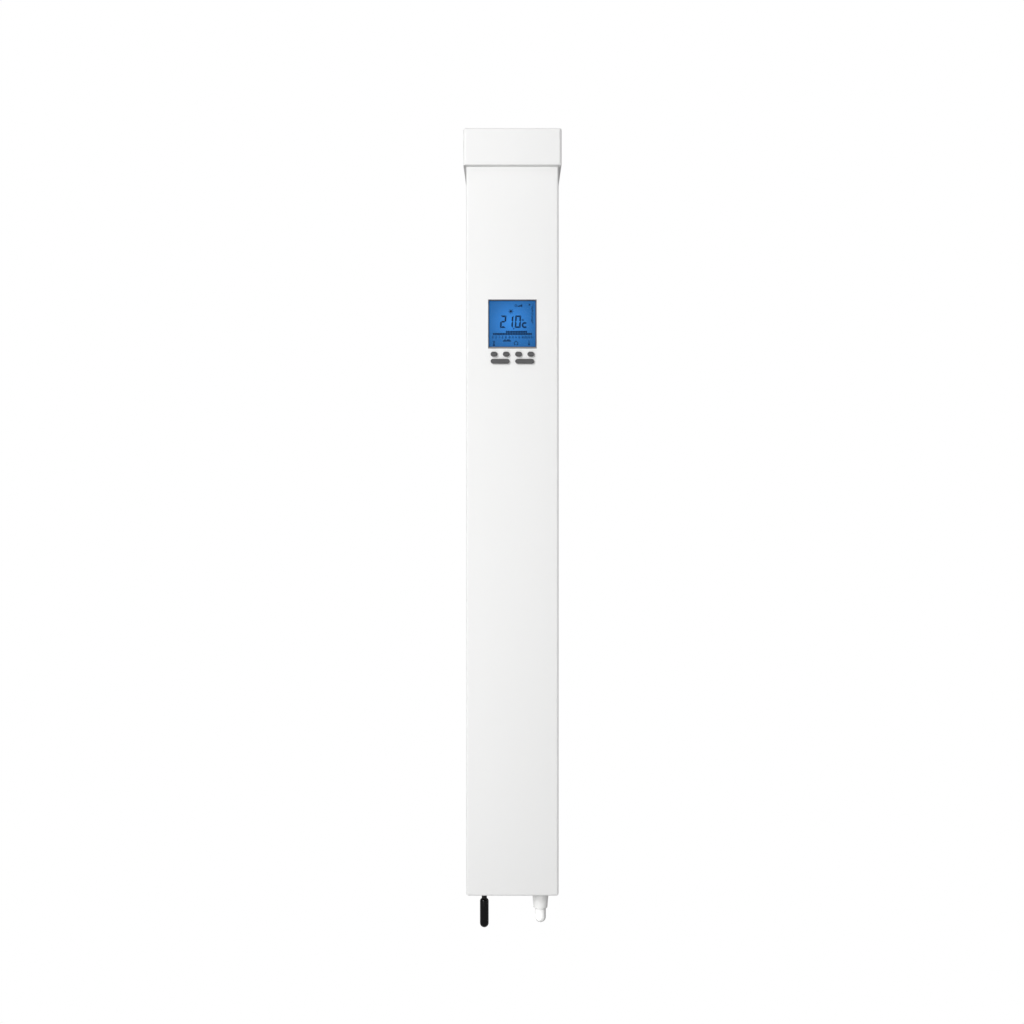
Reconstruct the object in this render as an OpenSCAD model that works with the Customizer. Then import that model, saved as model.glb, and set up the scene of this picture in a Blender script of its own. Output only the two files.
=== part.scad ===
// Thermostat column of an electric heater, hung on a wall.
// The wall is the plane y = 0, the front faces -y, and the origin is the middle of the four wall screws.

/* [Column] */
// Width of the steel column
col_w = 70; // [66:1:80]
// Depth of the column, from the wall to its front
col_d = 78; // [74:1:95]
// Height of the column and its cap together
total_h = 580.5; // [560:0.5:700]
// Sheet thickness of the front cover
cover_t = 1.2; // [1:0.1:1.4]
// Bend radius on the outside of the cover's folds
bend_r = 1.6; // [1.5:0.1:2.4]

/* [Cap] */
// Width of the top cap
cap_w = 74.2; // [73.8:0.1:76]
// Height of the top cap
cap_h = 28.3; // [24:0.1:36]
// How far the cap stands out in front of the column
cap_overhang = 6; // [4:0.5:9]
// Wall thickness of the moulded cap
cap_t = 2; // [1.6:0.1:2]

/* [Display] */
// Width of the display opening in the cover
display_w = 36.8; // [36:0.1:37.4]
// Height of the display opening in the cover
display_h = 37.2; // [36.6:0.1:37.4]
// Height of the display's middle above the column's lower end
display_up = 433.3; // [400:0.1:440]

/* [Keys] */
// Width of a small key
small_key_w = 4.9; // [4.2:0.1:5.2]
// Height of a small key
small_key_h = 3.3; // [3.1:0.1:3.5]
// Width of a wide key
wide_key_w = 14.1; // [12:0.1:14.4]
// Height of a wide key
wide_key_h = 3.3; // [2.8:0.1:3.4]
// Distance between the middles of neighbouring small keys
key_pitch = 9.3; // [8.8:0.1:9.6]
// How far a key stands out of the cover
key_proud = 2; // [1.2:0.1:2.4]
// How far a key can be pressed
key_travel = 0.6; // [0.3:0.1:0.7]

/* [Sensor and gland] */
// Distance of the sensor and the gland from the column's middle
outlet_x = 22; // [20:0.1:22.2]
// Length of the sensor below the column
sensor_drop = 34.6; // [28:0.1:40]
// Outer radius of the sensor sleeve
sensor_r = 3.4; // [3:0.1:3.6]
// Length of the gland's nose below the column
gland_drop = 19.4; // [17:0.1:24]
// Length of the domed plug that shows below the gland
plug_drop = 11.1; // [9:0.1:14]

/* [Wall fixing] */
// Distance across between the wall screws
wall_hole_x = 40; // [30:1:44]
// Distance up between the wall screws
wall_hole_z = 460; // [400:5:480]
// Radius of a wall screw's hole
wall_hole_r = 2.6; // [2.1:0.1:3]
// Radius of the rear cable bushings' bore
bushing_r = 6; // [4:0.5:7]

/* [Hidden] */
$fn = 48;
eps = 0.01;

// Levels of the column, whose origin is on the wall, origin_up above its lower end
origin_up = 290;
floor_z = -origin_up;
cap_top_z = total_h - origin_up;
cap_z = cap_top_z - cap_h;
cover_top_z = cap_z + 6;
front_y = -col_d;
inner_front_y = front_y + cover_t;
inner_x = col_w / 2 - cover_t;

// Rear chassis and the plates fixed to it
chassis_t = 1.5;
chassis_x = inner_x - 0.3;
chassis_flange = 16;
chassis_z = floor_z + 3.5;
chassis_h = cap_z - 0.2 - chassis_z;
plate_t = 2;
plate_z = floor_z + cover_t + 0.1;
rim = 6;
top_plate_z = cap_z + 2;
cap_screw_x = 22;
cap_screw_y = -40;
plate_screw_x = 12;
plate_screw_y = -14;
cover_screw_x = inner_x - 2.5;
cover_screw_y = -58;

// Display stack, from the front to the back
display_z = floor_z + display_up;
bezel_proud = 0.2;
bezel_side = 0.45;
bezel_top = 0.35;
bezel_low = 1.2;
lip_w = display_w - 0.2;
lip_h = display_h - 0.2;
view_w = lip_w - 2 * bezel_side;
view_h = lip_h - bezel_top - bezel_low;
view_z = display_z + (bezel_low - bezel_top) / 2;
window_t = 1.6;
window_y = front_y + 0.8;
gasket_y = window_y + window_t;
gasket_t = 0.4;
lcd_y = gasket_y + gasket_t;
lcd_t = 2.2;
backlight_y = lcd_y + lcd_t;
board_y = front_y + 8;
board_t = 1.6;
board_back_y = board_y + board_t;
carrier_pin_x = display_w / 2 + 1.05;
carrier_pin_z = 12;

// Control board, hung on studs behind the cover
board_w = 61;
board_low_z = display_z - 51;
board_high_z = display_z + 34;
stud_x = 27;
stud_z = [board_low_z + 6, board_high_z - 6];
stud_r = 1.5;

// Keys and their switches
small_row_z = display_z - 22.8;
wide_row_z = small_row_z - 5.4;
small_x = [-1.5, -0.5, 0.5, 1.5] * key_pitch;
wide_x = [-1, 1] * key_pitch;
key_gap = 0.15;
key_flange = 0.5;
key_flange_t = 0.7;
key_back_y = inner_front_y + 0.1;
switch_w = 4.5;
switch_t = 2.2;
plunger_r = 1;
plunger_top_y = board_y - switch_t - 0.8;
plunger_l = 2;

// Power board on pillars in front of the chassis
power_w = 58;
power_low_z = -100;
power_high_z = 60;
power_y = -12;
pillar_x = 25;
pillar_z = [power_low_z + 5, power_high_z - 5];

// Cable entries and the outlets below
bushing_x = 15;
bushing_z = -150;
bushing_l = 7.5;
outlet_y = -40;
lead_r = 2.05;
neck_top_z = floor_z + 14;
sleeve_top = 11.6;
grommet_r = 4.2;
gland_r = 6.3;
gland_tip_r = 5.5;
plug_r = 4.2;
thread_r = 5.6;

// Middle line of the sensor's lead and wire: from the sleeve up to the control board's lower edge
wire_route = [
    [-22, -40, -276], [-22, -40, -272], [-22, -40, -268], [-22, -41, -260], [-24, -46, -240],
    [-26, -54, -205], [-27, -60, -160], [-27.5, -63, -110], [-27.5, -64, -60], [-27.5, -64, -10],
    [-27, -64, 30], [-25, -64, 60], [-22, -63.5, 78], [-20, -63.5, 86], [-20, -63.5, 90]
];

// ---- Shared shapes ----

// Rectangle from [0, 0] to size, with a radius of its own at each corner, in the order
// lower left, lower right, upper right, upper left
module soft_rect(size, r) {
    corner = [[0, 0], [size.x, 0], [size.x, size.y], [0, size.y]];
    inward = [[1, 1], [-1, 1], [-1, -1], [1, -1]];
    difference() {
        square(size);
        for (i = [0:3])
            if (r[i] > 0)
                translate(corner[i])
                    corner_square(inward[i], r[i]);
    }
    for (i = [0:3])
        if (r[i] > 0)
            translate(corner[i] + inward[i] * r[i])
                circle(r[i]);
}

// Square of side r that runs from a corner into the shape
module corner_square(inward, r) {
    translate([inward.x > 0 ? 0 : -r, inward.y > 0 ? 0 : -r])
        square(r);
}

// Block whose front and side edges are rounded, from the wall forwards: edge is the radius of the
// upright edges, high that of the edges around its top, low that of the lower side edges and toe
// that of the lower front edge
module housing_block(w, d, z0, z1, edge, high, low, toe) {
    h = z1 - z0;
    intersection() {
        translate([-w / 2, -d, z0])
            linear_extrude(h)
                soft_rect([w, d], [edge, edge, 0, 0]);
        translate([-w / 2, 0, z0])
            rotate([90, 0, 0])
                linear_extrude(d)
                    soft_rect([w, h], [low, low, high, high]);
        translate([-w / 2, -d, z0])
            rotate([90, 0, 90])
                linear_extrude(w)
                    soft_rect([d, h], [toe, 0, 0, high]);
    }
}

// Upright slab in the plane of the front, centred on x and z, from y0 back to y1
module slab(x, z, w, h, y0, y1) {
    translate([x - w / 2, y0, z - h / 2])
        cube([w, y1 - y0, h]);
}

// Cylinder along y, from y0 back to y1
module rod_y(x, z, r, y0, y1) {
    translate([x, y0, z])
        rotate([-90, 0, 0])
            cylinder(r = r, h = y1 - y0);
}

// Cylinder along z, from z0 up to z1
module rod_z(x, y, r, z0, z1) {
    translate([x, y, z0])
        cylinder(r = r, h = z1 - z0);
}

// Pill with round ends, extruded along y from y0 back to y1
module pill(x, z, w, h, y0, y1) {
    translate([x, y1, z])
        rotate([90, 0, 0])
            linear_extrude(y1 - y0) {
                square([w - h, h], center = true);
                for (side = [-1, 1])
                    translate([side * (w - h) / 2, 0])
                        circle(h / 2);
            }
}

// Cross recess of a screw, cut down into a head whose top is at z = 0
module cross_recess(size, depth) {
    for (turn = [0, 90])
        rotate(turn)
            translate([-size / 2, -size / 7, -depth])
                cube([size, size / 3.5, depth + 1]);
}

// Pan-head screw: its head's seat is at z = 0, the head is above and the shank below
module pan_screw(shank_r, shank_l, head_r, head_h) {
    translate([0, 0, -shank_l])
        cylinder(r = shank_r, h = shank_l + eps);
    difference() {
        rotate_extrude()
            union() {
                square([head_r, head_h * 0.45]);
                intersection() {
                    square([head_r, head_h]);
                    translate([0, head_h - head_r * 1.35])
                        circle(head_r * 1.35);
                }
            }
        translate([0, 0, head_h])
            cross_recess(head_r * 1.25, head_h * 0.6);
    }
}

// Hexagonal nut with a plain bore, lying from z = 0 up
module hex_nut(across, h, bore_r) {
    difference() {
        cylinder(d = across / cos(30), h = h, $fn = 6);
        translate([0, 0, -1])
            cylinder(r = bore_r, h = h + 2);
    }
}

// Smooth route through the given points
function spline_point(p, i, t) =
    let (a = p[max(i - 1, 0)], b = p[i], c = p[i + 1], d = p[min(i + 2, len(p) - 1)])
    0.5 * ((2 * b) + (c - a) * t + (2 * a - 5 * b + 4 * c - d) * t * t + (3 * b - a - 3 * c + d) * t * t * t);
function smooth_route(p, steps) =
    [for (i = [0:len(p) - 2], s = [0:steps - 1]) spline_point(p, i, s / steps), p[len(p) - 1]];
function unit(v) = v / norm(v);
function heading(p, i) = unit(p[min(i + 1, len(p) - 1)] - p[max(i - 1, 0)]);
function ring(p, i, r, sides) =
    let (t = heading(p, i), u = unit(cross(t, [0, 1, 0.001])), v = cross(t, u))
    [for (s = [0:sides - 1]) p[i] + r * (u * cos(360 * s / sides) + v * sin(360 * s / sides))];

// Round tube swept along points
module tube(points, r, sides) {
    n = len(points);
    rings = [for (i = [0:n - 1]) each ring(points, i, r, sides)];
    walls = [for (i = [0:n - 2], s = [0:sides - 1])
        let (a = i * sides + s, b = i * sides + (s + 1) % sides)
        each [[a, b + sides, b], [a, a + sides, b + sides]]];
    first = [for (s = [0:sides - 1]) s];
    last = [for (s = [sides - 1:-1:0]) (n - 1) * sides + s];
    polyhedron(points = rings, faces = concat([first], walls, [last]));
}

// ---- Housing ----

// Folded steel cover: front, both sides and a rim around the open bottom
module front_cover() {
    inner_r = bend_r - cover_t;
    corner_r = 2.1;
    toe_r = cover_t + 0.1;
    color("white")
    difference() {
        housing_block(col_w, col_d, floor_z, cover_top_z, bend_r, 0, corner_r, toe_r);
        translate([0, eps, 0])
            housing_block(2 * inner_x, col_d - cover_t + eps, floor_z + cover_t, cover_top_z + 1,
                inner_r, 0, inner_r, toe_r - cover_t);
        // The bottom is open up to a rim at the front and the sides
        translate([-inner_x + rim - cover_t, front_y + 9, floor_z - 1])
            cube([2 * (inner_x - rim + cover_t), col_d, 4]);
        // The cover stops just short of the wall
        translate([-col_w, -0.3, floor_z - 1])
            cube([2 * col_w, 2, total_h]);
        slab(0, display_z, display_w, display_h, front_y - 1, inner_front_y + 1);
        for (x = small_x)
            pill(x, small_row_z, small_key_w + 2 * key_gap, small_key_h + 2 * key_gap,
                front_y - 1, inner_front_y + 1);
        for (x = wide_x)
            pill(x, wide_row_z, wide_key_w + 2 * key_gap, wide_key_h + 2 * key_gap,
                front_y - 1, inner_front_y + 1);
        for (side = [-1, 1])
            rod_z(side * cover_screw_x, cover_screw_y, 1.6, floor_z - 1, floor_z + 3);
    }
}

// Sheet that is screwed to the wall and carries everything inside
module rear_chassis() {
    color("gainsboro")
    difference() {
        translate([-chassis_x, -chassis_t, chassis_z])
            cube([2 * chassis_x, chassis_t, chassis_h]);
        for (x = [-1, 1], z = [-1, 1])
            rod_y(x * wall_hole_x / 2, z * wall_hole_z / 2, wall_hole_r, -3, 1);
        for (side = [-1, 1])
            rod_y(side * bushing_x, bushing_z, bushing_r + 1.5, -3, 1);
    }
}

// Two side rails and a foot that are spot welded to the sheet
module chassis_flanges() {
    weld_gap = 0.02;
    back_y = -chassis_t - weld_gap;
    foot_x = chassis_x - chassis_t - weld_gap;
    foot_d = 30;
    color("gainsboro") {
        for (side = [-1, 1])
            translate([side > 0 ? chassis_x - chassis_t : -chassis_x, -chassis_flange, chassis_z])
                cube([chassis_t, chassis_flange + back_y, chassis_h]);
        difference() {
            translate([-foot_x, -foot_d, chassis_z])
                cube([2 * foot_x, foot_d + back_y, chassis_t]);
            // Its front corners are cut back
            for (side = [-1, 1])
                translate([side * (chassis_x - 3), -foot_d, chassis_z - 1])
                    rotate(45)
                        cube([14, 14, 6], center = true);
            for (side = [-1, 1])
                rod_z(side * plate_screw_x, plate_screw_y, 1.3, chassis_z - 1, chassis_z + 3);
        }
    }
}

// Plate across the top of the chassis, which the cap is screwed to
module top_plate() {
    low = top_plate_z - 14;
    color("gainsboro")
    difference() {
        union() {
            translate([-chassis_x + 0.5, front_y + 4, top_plate_z])
                cube([2 * chassis_x - 1, col_d - 4 - chassis_t - 0.1, chassis_t]);
            translate([-chassis_x + chassis_t + 0.5, -2 * chassis_t - 0.1, low])
                cube([2 * (chassis_x - chassis_t) - 1, chassis_t, top_plate_z - low + eps]);
        }
        for (side = [-1, 1]) {
            rod_z(side * cap_screw_x, cap_screw_y, 1.7, top_plate_z - 1, top_plate_z + 3);
            rod_y(side * 14, low + 5, 1.6, -4, 0);
        }
    }
}

module top_plate_rivets() {
    color("silver")
    for (side = [-1, 1])
        translate([side * 14, -3 * chassis_t + 1.4, top_plate_z - 9])
            rotate([90, 0, 0]) {
                translate([0, 0, -1.4])
                    cylinder(r = 1.55, h = 1.4 + eps);
                intersection() {
                    translate([0, 0, -2.2])
                        sphere(3.6);
                    cylinder(r = 4, h = 3);
                }
            }
}

// Moulded cap that overhangs the column at the front and the sides
module top_cap() {
    soft = 2;
    lip_r = 0.8;
    color("white")
    difference() {
        union() {
            difference() {
                housing_block(cap_w, col_d + cap_overhang, cap_z, cap_top_z, soft, soft, lip_r, lip_r);
                translate([-cap_w / 2 + cap_t, front_y - cap_overhang + cap_t, cap_z + cap_t])
                    cube([cap_w - 2 * cap_t, col_d + cap_overhang - 2 * cap_t, cap_h - 2 * cap_t]);
            }
            for (side = [-1, 1]) {
                rod_z(side * cap_screw_x, cap_screw_y, 3.5, top_plate_z + chassis_t + 0.1, cap_top_z - 1);
                // Web that ties the boss to the side wall
                translate([side > 0 ? cap_screw_x : -cap_w / 2 + 1, cap_screw_y - 0.8, cover_top_z + 0.6])
                    cube([cap_w / 2 - cap_screw_x - 1, 1.6, cap_top_z - cover_top_z - 1.6]);
            }
        }
        // The column's upper end stands in this opening, and the back wall ends above it
        translate([-col_w / 2 - 0.2, front_y - 0.2, cap_z - 1])
            cube([col_w + 0.4, col_d + 1, cap_t + 1 + eps]);
        translate([-col_w / 2 - 0.2, -cap_t - 1, cap_z - 1])
            cube([col_w + 0.4, cap_t + 2, cover_top_z + 0.5 - cap_z + 1]);
        for (side = [-1, 1])
            rod_z(side * cap_screw_x, cap_screw_y, 1.3, cap_z, cap_z + 18);
    }
}

module cap_screws() {
    color("silver")
    for (side = [-1, 1])
        translate([side * cap_screw_x, cap_screw_y, top_plate_z])
            rotate([180, 0, 0])
                pan_screw(1.25, 13, 2.8, 1.8);
}

// Moulded plate that closes the bottom and carries the sensor and the gland
module bottom_plate() {
    boss_h = 9;
    color("white")
    difference() {
        union() {
            translate([-inner_x + 0.3, inner_front_y + 0.5, plate_z])
                cube([2 * inner_x - 0.6, -inner_front_y - 0.8, plate_t]);
            for (side = [-1, 1])
                rod_z(side * cover_screw_x, cover_screw_y, 2.1, plate_z, plate_z + boss_h);
            rod_z(-outlet_x, outlet_y, grommet_r + 1.4, plate_z, plate_z + 3.2);
            rod_z(outlet_x, outlet_y, thread_r + 1.4, plate_z, plate_z + 3.2);
        }
        for (side = [-1, 1]) {
            rod_z(side * cover_screw_x, cover_screw_y, 1.2, plate_z - 1, plate_z + boss_h - 1);
            rod_z(side * plate_screw_x, plate_screw_y, 1.6, plate_z - 1, plate_z + 4);
        }
        rod_z(-outlet_x, outlet_y, grommet_r - 1.1, plate_z - 1, plate_z + 5);
        rod_z(outlet_x, outlet_y, thread_r + 0.1, plate_z - 1, plate_z + 5);
    }
}

// Screws up through the bottom plate into the chassis
module plate_screws() {
    color("silver")
    for (side = [-1, 1])
        translate([side * plate_screw_x, plate_screw_y, plate_z])
            rotate([180, 0, 0])
                pan_screw(1.25, 6, 2.6, 1.2);
}

// Screws up through the cover's rim into the bottom plate's bosses
module cover_screws() {
    color("silver")
    for (side = [-1, 1])
        translate([side * cover_screw_x, cover_screw_y, floor_z])
            rotate([180, 0, 0])
                pan_screw(1.15, 8, 2.1, 1.4);
}

module rating_label() {
    label_w = 18;
    label_l = 32;
    label_t = 0.13;
    color("whitesmoke")
    translate([-label_w / 2, -66, plate_z - label_t - 0.02])
        cube([label_w, label_l, label_t]);
}

// ---- Display ----

// Frame around the window: a lip in the cover's opening, with its inner edges sloped, and a flange
// behind the cover
module display_bezel() {
    lip_y = front_y - bezel_proud;
    flange = 1.1;
    color("dimgray")
    difference() {
        union() {
            slab(0, display_z, lip_w, lip_h, lip_y, lcd_y);
            slab(0, display_z, display_w + 2 * flange, display_h + 2 * flange, inner_front_y + 0.1, gasket_y);
        }
        slab(0, view_z, view_w, view_h, lip_y - 1, lcd_y + 1);
        hull() {
            slab(0, display_z, lip_w - 0.2, lip_h - 0.2, lip_y - 0.02, lip_y - eps);
            slab(0, view_z, view_w - 0.1, view_h - 0.1, window_y, window_y + 0.1);
        }
    }
}

module display_window() {
    color("lightblue", 0.35)
    slab(0, view_z, view_w - 0.1, view_h - 0.1, window_y, gasket_y);
}

module window_gasket() {
    w = view_w - 0.2;
    h = view_h - 0.2;
    rim_w = 0.3;
    color("black")
    difference() {
        slab(0, view_z, w, h, gasket_y, lcd_y - 0.02);
        slab(0, view_z, w - 2 * rim_w, h - 2 * rim_w, gasket_y - 1, lcd_y + 1);
    }
}

// Two glass plates: the rear one is taller and carries the contacts
module lcd_cell() {
    color("steelblue")
    {
        slab(0, display_z, display_w + 0.4, display_h - 3.4, lcd_y, lcd_y + lcd_t / 2 + eps);
        slab(0, display_z, display_w + 0.4, display_h - 0.2, lcd_y + lcd_t / 2, lcd_y + lcd_t);
    }
}

module backlight_panel() {
    color("deepskyblue")
    slab(0, display_z, display_w, display_h - 5, backlight_y, board_y - 0.1);
}

// Rubber strips that join the glass to the board above and below the backlight
module display_strips() {
    color("dimgray")
    for (side = [-1, 1])
        slab(0, display_z + side * (display_h / 2 - 1.3), display_w - 4, 1.8, backlight_y, board_y);
}

// Plastic frame around glass and backlight, with four pins through the board
module display_carrier() {
    hole_w = display_w + 0.6;
    hole_h = display_h + 0.1;
    wall = 1;
    pin_r = 0.6;
    color("ivory")
    {
        difference() {
            slab(0, display_z, hole_w + 2 * wall + 1, hole_h + 2 * wall, gasket_y + 0.1, board_y);
            slab(0, display_z, hole_w, hole_h, gasket_y - 1, board_y + 1);
            // Room for the bezel's flange
            slab(0, display_z, display_w + 2.6, display_h + 2.6, gasket_y - 1, gasket_y);
        }
        for (x = [-1, 1], z = [-1, 1])
            rod_y(x * carrier_pin_x, display_z + z * carrier_pin_z, pin_r, board_y - eps, board_back_y + 0.8);
    }
}

// ---- Keys ----

// Key cap with its flange behind the cover and a stem down to the switch
module key(x, z, w, h) {
    color("dimgray") {
        pill(x, z, w, h, front_y - key_proud + 0.4, key_back_y + eps);
        // The front edge is stepped back to a softer outline
        pill(x, z, w - 0.5, h - 0.5, front_y - key_proud, front_y - key_proud + 0.4 + eps);
        pill(x, z, w + 2 * key_flange, h + 2 * key_flange, key_back_y, key_back_y + key_flange_t);
        rod_y(x, z, 1.3, key_back_y + key_flange_t - eps, plunger_top_y);
    }
}

module small_key(i) {
    key(small_x[i], small_row_z, small_key_w, small_key_h);
}

module wide_key(i) {
    key(wide_x[i], wide_row_z, wide_key_w, wide_key_h);
}

// Button of one switch, which slides in the switch's own bore
module plunger(x, z) {
    color("black")
    rod_y(x, z, plunger_r, plunger_top_y, plunger_top_y + plunger_l);
}

module tact_switches() {
    bore_end_y = plunger_top_y + plunger_l + key_travel + 0.1;
    color("silver")
    for (p = concat([for (x = small_x) [x, small_row_z]], [for (x = wide_x) [x, wide_row_z]]))
        difference() {
            slab(p.x, p.y, switch_w, switch_w, board_y - switch_t, board_y);
            rod_y(p.x, p.y, plunger_r + 0.06, board_y - switch_t - 1, bore_end_y);
        }
}

// ---- Control board ----

module control_board() {
    color("seagreen")
    difference() {
        translate([-board_w / 2, board_y, board_low_z])
            cube([board_w, board_t, board_high_z - board_low_z]);
        for (side = [-1, 1], z = stud_z)
            rod_y(side * stud_x, z, stud_r + 0.2, board_y - 1, board_back_y + 1);
        for (x = [-1, 1], z = [-1, 1])
            rod_y(x * carrier_pin_x, display_z + z * carrier_pin_z, 0.65, board_y - 1, board_back_y + 1);
    }
}

// Studs welded to the back of the cover
module cover_studs() {
    color("silver")
    for (side = [-1, 1], z = stud_z)
        rod_y(side * stud_x, z, stud_r, inner_front_y, board_back_y + 4);
}

module stud_spacers() {
    color("white")
    for (side = [-1, 1], z = stud_z)
        difference() {
            rod_y(side * stud_x, z, 3, inner_front_y + 0.05, board_y);
            rod_y(side * stud_x, z, stud_r + 0.15, inner_front_y - 1, board_y + 1);
        }
}

module stud_nuts() {
    color("silver")
    for (side = [-1, 1], z = stud_z)
        translate([side * stud_x, board_back_y, z])
            rotate([-90, 0, 0])
                hex_nut(5.5, 2.4, stud_r + 0.02);
}

module controller_chip() {
    seat = board_back_y + 0.1;
    body_w = 12;
    body_t = 1.5;
    body_z = display_z + 4;
    leg = [1.6, 0.3, 0.4];
    color("black") {
        slab(0, body_z, body_w, body_w, seat, seat + body_t);
        slab(-14, display_z + 16, 6, 5, seat, seat + body_t);
        slab(0, display_z - 16, 8, 5, seat, seat + body_t + 0.2);
    }
    color("silver")
    for (turn = [0:3], i = [-4:4])
        translate([0, board_back_y, body_z])
            rotate([0, 90 * turn, 0])
                translate([body_w / 2 - 0.1, 0, i - leg.z / 2])
                    cube(leg);
}

battery_x = 14;
battery_z = display_z + 18;
battery_r = 6.1;
clip_floor = 0.8;
module battery_clip() {
    clip_h = 4.2;
    color("ivory")
    difference() {
        rod_y(battery_x, battery_z, battery_r + 1.3, board_back_y, board_back_y + clip_h);
        rod_y(battery_x, battery_z, battery_r + 0.1, board_back_y + clip_floor, board_back_y + clip_h + 1);
        // Notch for a fingertip
        slab(battery_x, battery_z + 8, 7, 4, board_back_y + 2, board_back_y + clip_h + 1);
    }
}

module clock_battery() {
    seat = board_back_y + clip_floor + 0.05;
    battery_t = 3.15;
    color("silver")
    rod_y(battery_x, battery_z, battery_r, seat, seat + battery_t);
}

module buzzer() {
    x = -17;
    z = display_z - 38;
    h = 5;
    color("black")
    difference() {
        rod_y(x, z, 6, board_back_y, board_back_y + h);
        rod_y(x, z, 1.2, board_back_y + h - 2, board_back_y + h + 1);
    }
}

// Header on each board, open where the ribbon plugs in
socket_size = [18, 7, 6];
socket_wall = 1;
socket_floor = 2;
plug_size = [15.6, 7, 3.6];
ribbon_x = 13;
ribbon_low_z = 44;
ribbon_high_z = display_z - 42;
module ribbon_socket() {
    difference() {
        translate([-socket_size.x / 2, 0, -socket_size.z / 2])
            cube(socket_size);
        translate([-socket_size.x / 2 + socket_wall, socket_floor, -socket_size.z / 2 + socket_wall])
            cube([socket_size.x - 2 * socket_wall, socket_size.y, socket_size.z - 2 * socket_wall]);
    }
}

module ribbon_sockets() {
    color("white") {
        translate([ribbon_x, board_back_y, ribbon_high_z])
            ribbon_socket();
        translate([ribbon_x, power_y, ribbon_low_z])
            rotate([0, 0, 180])
                ribbon_socket();
    }
}

// Flat cable between the two boards, in the plane of y and z
function arc_yz(cy, cz, r, a0, a1) =
    [for (i = [0:8]) let (a = a0 + (a1 - a0) * i / 8) [cy + r * cos(a), cz + r * sin(a)]];
module ribbon_cable() {
    t = 0.9;
    ribbon_w = 13;
    y0 = board_back_y + socket_floor + 0.1;
    y1 = power_y - socket_floor - 0.1;
    r = 8;
    turn_y0 = y0 + 12;
    turn_y1 = y1 - 12;
    z0 = ribbon_high_z;
    z1 = ribbon_low_z;
    line = concat(
        [[y0, z0]],
        arc_yz(turn_y0 - 2, z0 - r, r, 90, 40),
        arc_yz(turn_y1 + 2, z1 + r, r, 220, 270),
        [[y1, z1]]
    );
    function side_of(i) =
        let (a = line[max(i - 1, 0)], b = line[min(i + 1, len(line) - 1)], d = (b - a) / norm(b - a))
        [-d.y, d.x];
    up = [for (i = [0:len(line) - 1]) line[i] + side_of(i) * t / 2];
    down = [for (i = [len(line) - 1:-1:0]) line[i] - side_of(i) * t / 2];
    color("silver")
    translate([ribbon_x - ribbon_w / 2, 0, 0])
        rotate([90, 0, 90])
            linear_extrude(ribbon_w)
                polygon(concat(up, down));
    // Plug on each end
    color("dimgray") {
        translate([ribbon_x - plug_size.x / 2, y0, z0 - plug_size.z / 2])
            cube(plug_size);
        translate([ribbon_x - plug_size.x / 2, y1 - plug_size.y, z1 - plug_size.z / 2])
            cube(plug_size);
    }
}

// ---- Power board ----

module power_board() {
    color("peru")
    difference() {
        translate([-power_w / 2, power_y, power_low_z])
            cube([power_w, board_t, power_high_z - power_low_z]);
        for (side = [-1, 1], z = pillar_z)
            rod_y(side * pillar_x, z, 1.7, power_y - 1, power_y + board_t + 1);
    }
}

module board_pillars() {
    color("ivory")
    for (side = [-1, 1], z = pillar_z)
        difference() {
            rod_y(side * pillar_x, z, 3, power_y + board_t, -chassis_t);
            rod_y(side * pillar_x, z, 1.25, power_y, -chassis_t - 1);
        }
}

module pillar_screws() {
    color("silver")
    for (side = [-1, 1], z = pillar_z)
        translate([side * pillar_x, power_y, z])
            rotate([90, 0, 0])
                pan_screw(1.2, 7, 2.7, 1.8);
}

// Film between the power board and the chassis
module insulation_sheet() {
    color("lightyellow")
    difference() {
        translate([-power_w / 2 - 1, -chassis_t - 0.5, power_low_z - 2])
            cube([power_w + 2, 0.4, power_high_z - power_low_z + 4]);
        for (side = [-1, 1], z = pillar_z)
            rod_y(side * pillar_x, z, 3.1, -4, 0);
    }
}

// Block that stands on the power board's front, from its lower left corner
module board_block(x, z, w, d, h) {
    translate([x, power_y - d, z])
        cube([w, d, h]);
}

module mains_relay() {
    relay_d = 16;
    color("steelblue")
    difference() {
        board_block(-24, -14, 13, relay_d, 29);
        // Vent notch at the upper end
        translate([-22.5, power_y - relay_d - 0.5, 12.6])
            cube([10, 1, 1]);
    }
}

// Core with its windings on a bobbin
module supply_transformer() {
    core = [30, 24, 28];
    winding = [18, 13, 4.5];
    x = -6;
    z = -12;
    color("dimgray")
    difference() {
        board_block(x, z, core.x, core.y, core.z);
        for (low = [z - eps, z + core.z - 5])
            translate([x + 5, power_y - core.y - 1, low])
                cube([20, 19, 5 + eps]);
    }
    color("gold")
    for (low = [z, z + core.z - winding.z])
        translate([x + 6, power_y - 20, low])
            cube(winding);
}

module smoothing_capacitors() {
    tall = 13;
    short = 11;
    color("midnightblue") {
        rod_y(-18, -32, 5, power_y - tall, power_y);
        rod_y(-18, -45, 4, power_y - short, power_y);
        rod_y(-6, -33, 3.2, power_y - short, power_y);
    }
}

module film_capacitor() {
    color("gold")
    board_block(4, -38, 18, 14, 8);
}

fuse_z = -56;
fuse_y = power_y - 6;
fuse_cap_r = 2.6;
module rod_x(x, r, l) {
    translate([x, fuse_y, fuse_z])
        rotate([0, 90, 0])
            cylinder(r = r, h = l);
}

// Glass tube between two end caps
module fuse() {
    cap_l = 5;
    color("lightgray") {
        rod_x(-2, 2.1, 10);
        for (x = [-7, 8])
            rod_x(x, fuse_cap_r, cap_l);
    }
}

module fuse_clips() {
    clip = [3, 8.4, 7.2];
    color("silver")
    for (x = [-6, 9])
        difference() {
            board_block(x, fuse_z - clip.z / 2, clip.x, clip.y, clip.z);
            rod_x(x - 1, fuse_cap_r + 0.05, clip.x + 2);
            // Mouth that the fuse snaps in through
            translate([x - 1, power_y - 9, fuse_z - 2])
                cube([clip.x + 2, 3, 4]);
        }
}

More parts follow.
